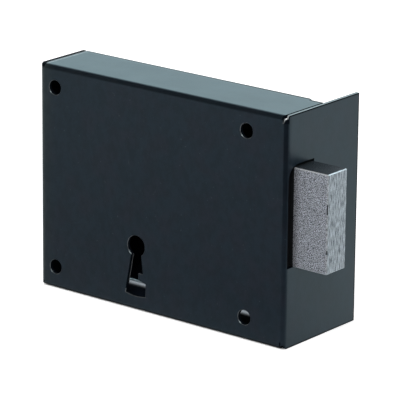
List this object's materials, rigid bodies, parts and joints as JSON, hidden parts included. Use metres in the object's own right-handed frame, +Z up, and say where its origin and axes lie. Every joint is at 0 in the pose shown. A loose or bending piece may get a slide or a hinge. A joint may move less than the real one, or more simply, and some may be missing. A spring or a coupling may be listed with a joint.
{
  "type": "rim box lock",
  "caption": "Rim dead lock: folded black steel box case with a forend flange, keyhole, fixing holes and a rectangular bolt.",
  "frame": {"origin": "centre of the four fixing holes, on the plane where the back of the lock meets the face of the door", "axes": "+X towards the bolt and the door's edge, +Y into the door, +Z up"},
  "size_m": [0.113, 0.037, 0.075],
  "materials": {
    "black_enamel": "satin black stoved enamel over folded steel",
    "black_steel": "black oxide, dull",
    "bolt_steel": "plain ground steel, grainy sides and a brushed end",
    "steel_plain": "plain bright steel",
    "screw_steel": "zinc-plated steel",
    "lever_brass": "blanked sheet brass",
    "spring_steel": "blued spring steel"
  },
  "bodies": {
    "lock_body": {"lock_case": "black_enamel", "back_plate": "black_enamel", "cover_pillars": "steel_plain", "cover_screws": "screw_steel", "bolt_guide_plate": "black_steel", "lever_post": "steel_plain", "lever_washers": "steel_plain", "lever_post_clip": "steel_plain", "lever_stop_post": "steel_plain", "spring_post": "steel_plain"},
    "bolt_body": {"bolt_head": "bolt_steel", "bolt_tail": "steel_plain", "bolt_rivets": "steel_plain", "bolt_stump": "steel_plain"},
    "lever_1_body": {"lever_1": "lever_brass", "lever_spring_1": "spring_steel"},
    "lever_2_body": {"lever_2": "lever_brass", "lever_spring_2": "spring_steel"},
    "lever_3_body": {"lever_3": "lever_brass", "lever_spring_3": "spring_steel"},
    "lever_4_body": {"lever_4": "lever_brass", "lever_spring_4": "spring_steel"}
  },
  "joints": [
    {"name": "bolt_slide", "type": "slide", "parent": "lock_body", "child": "bolt_body", "axis": [-1, 0, 0], "range_m": [0, 0.013]},
    {"name": "lever_1_lift", "type": "hinge", "parent": "lock_body", "child": "lever_1_body", "pos_m": [-0.02432, -0.00355, 0.0047], "axis": [0, -1, 0], "range_deg": [0, 7.96], "deforming": ["lever_spring_1"]},
    {"name": "lever_2_lift", "type": "hinge", "parent": "lock_body", "child": "lever_2_body", "pos_m": [-0.02432, -0.00625, 0.0047], "axis": [0, -1, 0], "range_deg": [0, 7.96], "deforming": ["lever_spring_2"]},
    {"name": "lever_3_lift", "type": "hinge", "parent": "lock_body", "child": "lever_3_body", "pos_m": [-0.02432, -0.01245, 0.0047], "axis": [0, -1, 0], "range_deg": [0, 7.96], "deforming": ["lever_spring_3"]},
    {"name": "lever_4_lift", "type": "hinge", "parent": "lock_body", "child": "lever_4_body", "pos_m": [-0.02432, -0.01515, 0.0047], "axis": [0, -1, 0], "range_deg": [0, 7.96], "deforming": ["lever_spring_4"]}
  ],
  "couplings": [
    {"joint": "lever_1_lift", "follows": "bolt_slide", "rad_per_m": 10.69},
    {"joint": "lever_2_lift", "follows": "bolt_slide", "rad_per_m": 10.69},
    {"joint": "lever_3_lift", "follows": "bolt_slide", "rad_per_m": 10.69},
    {"joint": "lever_4_lift", "follows": "bolt_slide", "rad_per_m": 10.69}
  ]
}
